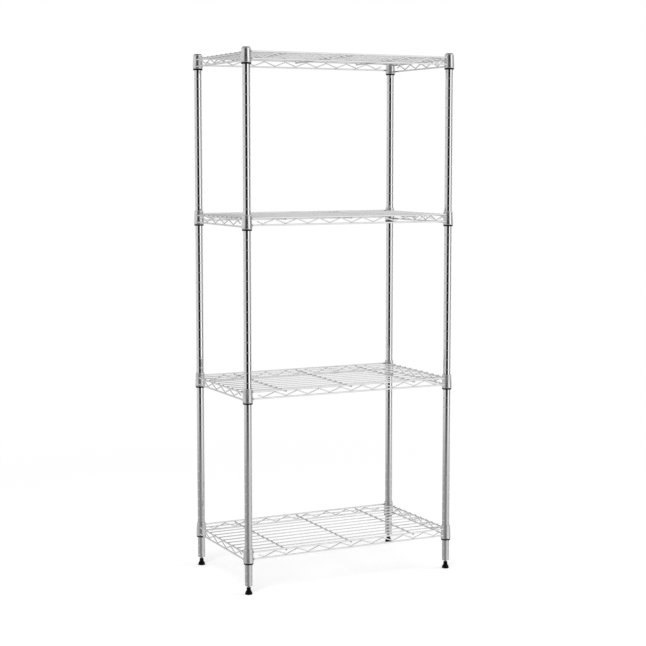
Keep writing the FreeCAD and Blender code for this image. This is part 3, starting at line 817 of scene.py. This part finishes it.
def collar_points(shelf, run):
    """Where the long or end rails meet the collars."""
    level = box_of(f"{shelf}_collars")[1].z
    along = RUNS[run]
    across = other(along)
    plane = rail_plane(shelf, run)
    points = []
    for rails in ("top_rails", "bottom_rails"):
        height = box_of(f"{shelf}_{run}_{rails}")[0].z
        for corner in CORNERS:
            axis = post_axis(corner)
            offset = plane - abs(axis[across])
            reach = math.sqrt(collar_radius(height - level) ** 2 - offset ** 2)
            point = Vector((0, 0, height))
            point[along] = axis[along] - math.copysign(reach, axis[along])
            point[across] = math.copysign(plane, axis[across])
            points.append(point)
    return points


def make_welds(shelf):
    """All weld beads of a shelf, as one piece."""
    meshes = [beads(crossing_points(shelf), BEAD_AT_CROSSING, turn_to(X))]
    for run, along in RUNS.items():
        meshes.append(beads(bend_points(shelf, run), BEAD_ON_BEND, turn_to(along)))
    for run, along in RUNS.items():
        meshes.append(beads(collar_points(shelf, run), BEAD_AT_COLLAR, turn_to(along),
                            COLLAR_BEAD_SPLITS))
    shape = bmesh.new()
    for mesh in meshes:
        shape.from_mesh(mesh)
        bpy.data.meshes.remove(mesh)
    finish_piece(f"{shelf}_weld_beads", closed_mesh(shape, CHROME_WELD), shelf, "chrome_wire")


def finish_nodes(kind, material):
    """Gives the model's own nodes of a kind their real finish."""
    for name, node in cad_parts.items():
        if kind in name:
            node.data.materials.clear()
            node.data.materials.append(material)


for corner in CORNERS:
    make_post(corner)
    make_cap(corner)
    make_pad(corner)
    make_stud(corner)
for shelf in SHELVES:
    make_sleeves(shelf)
    make_collars(shelf)
    make_wires(shelf, "deck_wires", X, DECK_WIRES)
    make_wires(shelf, "cross_bars", Y, CROSS_BARS)
    for run in RUNS:
        make_zigzags(shelf, run)
    make_welds(shelf)
finish_nodes("rails", CHROME_WIRE)
finish_nodes("foot_insert", BLACK_NYLON)


# Studio: a pale floor, a pale surround with dark and bright panels, soft lamps, and the camera

# The camera: how far it looks to the right and down, its place, its lens and sensor in mm, its shift
VIEW_TURN = math.radians(26.19)
VIEW_DROP = math.radians(5.67)
CAMERA_PLACE = (-1.811, -3.682, 1.100)
CAMERA_LENS = 86.77
CAMERA_SENSOR = 36.0
CAMERA_SHIFT = -0.02
# Soft lamps: place, side of the square, and power in watts
KEY_LAMP = ((-2.2, -2.6, 3.4), 2.2, 60)
FILL_LAMP = ((3.0, -1.2, 2.6), 2.2, 30)
FLOOR_HALF = 12.0
FLOOR_SPECK = 25 * MM
# The floor shows its shading out to the first distance and is plain white from the second. The lift
# is light that only the camera sees on it.
FLOOR_SHADED = 0.7
FLOOR_WHITE = 2.2
FLOOR_LIFT = 0.27
# The panels that the posts mirror: degrees to the right of the camera, and brightness there
PANELS = ((-180, 0.05), (-160, 0.05), (-148, 1.1), (-125, 1.15), (-95, 1.0), (-60, 1.15), (-48, 1.0),
          (-25, 0.02), (27, 0.02), (37, 1.6), (46, 2.0), (68, 1.9), (80, 0.36), (112, 0.32),
          (130, 1.1), (150, 1.3), (160, 0.05), (180, 0.05))
# The grey sweep that the lower posts and legs mirror, below the panels
SWEEP = ((-180, 0.3), (-155, 0.34), (-135, 0.75), (-118, 0.73), (-70, 0.6), (-33, 0.38), (8, 0.36),
         (33, 0.92), (70, 1.0), (118, 0.68), (140, 0.9), (158, 0.34), (180, 0.3))
# The rest of the surround, which the wires mirror: dimmer around the camera and on the far side
BEYOND = ((-180, 0.45), (-160, 0.5), (-125, 0.85), (-95, 0.9), (-60, 0.75), (-30, 0.32), (26, 0.32),
          (46, 1.1), (125, 1.1), (150, 0.75), (165, 0.5), (180, 0.45))
# How much of the panels and the sweep there is at each height, from -1 straight down to 1 straight up
PANEL_SHARE = ((-0.203, 0.0), (-0.15, 1.0), (0.085, 1.0), (0.2, 0.0))
SWEEP_SHARE = ((-0.45, 0.0), (-0.3, 1.0), (-0.203, 1.0), (-0.15, 0.0))
# The brightest tone above, and the level of the plain light on matt surfaces
BRIGHTEST = 2.0
AMBIENT_LEVEL = 0.6


def grey(level):
    """A neutral colour of a linear level."""
    return (level, level, level, 1.0)


def make_floor():
    """A matt off-white floor: the soft shadow of the feet shows on it, and it fades to white."""
    material, tree, place = new_material("matt_white_floor")
    speck = add(tree, "ShaderNodeTexNoise", {"Vector": place, "Scale": 1 / FLOOR_SPECK, "Detail": 2.0})
    tone = add(tree, "ShaderNodeMix", {0: speck, 6: linear("#F7F7F7"), 7: linear("#F9F9F9")},
               data_type="RGBA")
    matt = add(tree, "ShaderNodeBsdfDiffuse", {"Color": tone.outputs[2]})
    seen = add(tree, "ShaderNodeLightPath").outputs["Is Camera Ray"]
    lift = add(tree, "ShaderNodeMath", {0: seen, 1: FLOOR_LIFT}, operation="MULTIPLY")
    glow = add(tree, "ShaderNodeEmission", {"Strength": lift})
    lifted = add(tree, "ShaderNodeAddShader", {0: matt, 1: glow})
    distance = add(tree, "ShaderNodeVectorMath", {0: place}, operation="LENGTH")
    fade = add(tree, "ShaderNodeMapRange",
               {"Value": distance.outputs["Value"], "From Min": FLOOR_SHADED, "From Max": FLOOR_WHITE},
               interpolation_type="SMOOTHSTEP")
    far = add(tree, "ShaderNodeMath", {0: fade, 1: seen}, operation="MULTIPLY")
    white = add(tree, "ShaderNodeEmission", {"Color": grey(1.0), "Strength": 1.0})
    shown = add(tree, "ShaderNodeMixShader", {0: far, 1: lifted, 2: white})
    add(tree, "ShaderNodeOutputMaterial", {"Surface": shown})
    mesh = bpy.data.meshes.new("floor")
    corners = [(x * FLOOR_HALF, y * FLOOR_HALF, 0) for x, y in ((-1, -1), (1, -1), (1, 1), (-1, 1))]
    mesh.from_pydata(corners, [], [range(len(corners))])
    mesh.materials.append(material)
    floor = bpy.data.objects.new("floor", mesh)
    bpy.context.scene.collection.objects.link(floor)
    floor.visible_glossy = False


def look_up(tree, value, table, lowest, highest, full=1.0):
    """The level that a table of (value, level) rows gives for a value, as a share of the full one."""
    place = add(tree, "ShaderNodeMapRange", {"Value": value, "From Min": lowest, "From Max": highest})
    ramp = add(tree, "ShaderNodeValToRGB", {"Fac": place})
    stops = ramp.color_ramp.elements
    while len(stops) < len(table):
        stops.new(0.5)
    for stop, (row_value, level) in zip(stops, table):
        stop.position = (row_value - lowest) / (highest - lowest)
        stop.color = grey(level / full)
    return ramp.outputs["Color"]


def make_surround():
    """The world: white to the camera, plain soft light on matt surfaces, panels in the chrome."""
    world = bpy.data.worlds.new("studio_surround")
    bpy.context.scene.world = world
    world.use_nodes = True
    tree = world.node_tree
    tree.nodes.clear()
    place = add(tree, "ShaderNodeTexCoord").outputs["Generated"]
    way = add(tree, "ShaderNodeSeparateXYZ", {0: place})
    towards_front = add(tree, "ShaderNodeMath", {0: way.outputs["Y"], 1: -1.0}, operation="MULTIPLY")
    bearing = add(tree, "ShaderNodeMath", {0: way.outputs["X"], 1: towards_front}, operation="ARCTAN2")
    from_camera = add(tree, "ShaderNodeMath", {0: bearing, 1: VIEW_TURN}, operation="ADD")
    turned = add(tree, "ShaderNodeMath", {0: from_camera, 1: math.pi, 2: -math.pi}, operation="WRAP")
    degrees = add(tree, "ShaderNodeMath", {0: turned}, operation="DEGREES")
    tone = look_up(tree, degrees, BEYOND, -180, 180, BRIGHTEST)
    for tones, shares in ((SWEEP, SWEEP_SHARE), (PANELS, PANEL_SHARE)):
        share = look_up(tree, way.outputs["Z"], shares, -1, 1)
        nearer = look_up(tree, degrees, tones, -180, 180, BRIGHTEST)
        mixed = add(tree, "ShaderNodeMix", {0: share, 6: tone, 7: nearer}, data_type="RGBA")
        tone = mixed.outputs[2]
    mirrored = add(tree, "ShaderNodeBackground", {"Color": tone, "Strength": BRIGHTEST})
    ambient = add(tree, "ShaderNodeBackground", {"Color": grey(1.0), "Strength": AMBIENT_LEVEL})
    white = add(tree, "ShaderNodeBackground", {"Color": grey(1.0), "Strength": 1.0})
    path = add(tree, "ShaderNodeLightPath").outputs
    lit = add(tree, "ShaderNodeMixShader", {0: path["Is Glossy Ray"], 1: ambient, 2: mirrored})
    shown = add(tree, "ShaderNodeMixShader", {0: path["Is Camera Ray"], 1: lit, 2: white})
    add(tree, "ShaderNodeOutputWorld", {"Surface": shown})


def make_lamp(name, place, size, power):
    """A square soft lamp that faces the middle of the unit; the chrome mirrors the surround instead."""
    data = bpy.data.lights.new(name, "AREA")
    data.size = size
    data.energy = power
    lamp = bpy.data.objects.new(name, data)
    lamp.location = place
    middle = (CAD_BOX[0] + CAD_BOX[1]) / 2
    lamp.rotation_euler = (middle - lamp.location).to_track_quat("-Z", "Y").to_euler()
    lamp.visible_glossy = False
    bpy.context.scene.collection.objects.link(lamp)


def make_camera():
    """The camera, to the left of the front and above the unit's middle, looking slightly down."""
    data = bpy.data.cameras.new("camera")
    data.lens = CAMERA_LENS
    data.sensor_width = CAMERA_SENSOR
    data.shift_y = CAMERA_SHIFT
    camera = bpy.data.objects.new("camera", data)
    camera.location = CAMERA_PLACE
    camera.rotation_euler = (QUARTER_TURN - VIEW_DROP, 0, -VIEW_TURN)
    bpy.context.scene.collection.objects.link(camera)
    bpy.context.scene.camera = camera


make_floor()
make_surround()
make_lamp("key_lamp", *KEY_LAMP)
make_lamp("fill_lamp", *FILL_LAMP)
make_camera()
bpy.context.scene.view_settings.view_transform = "Standard"
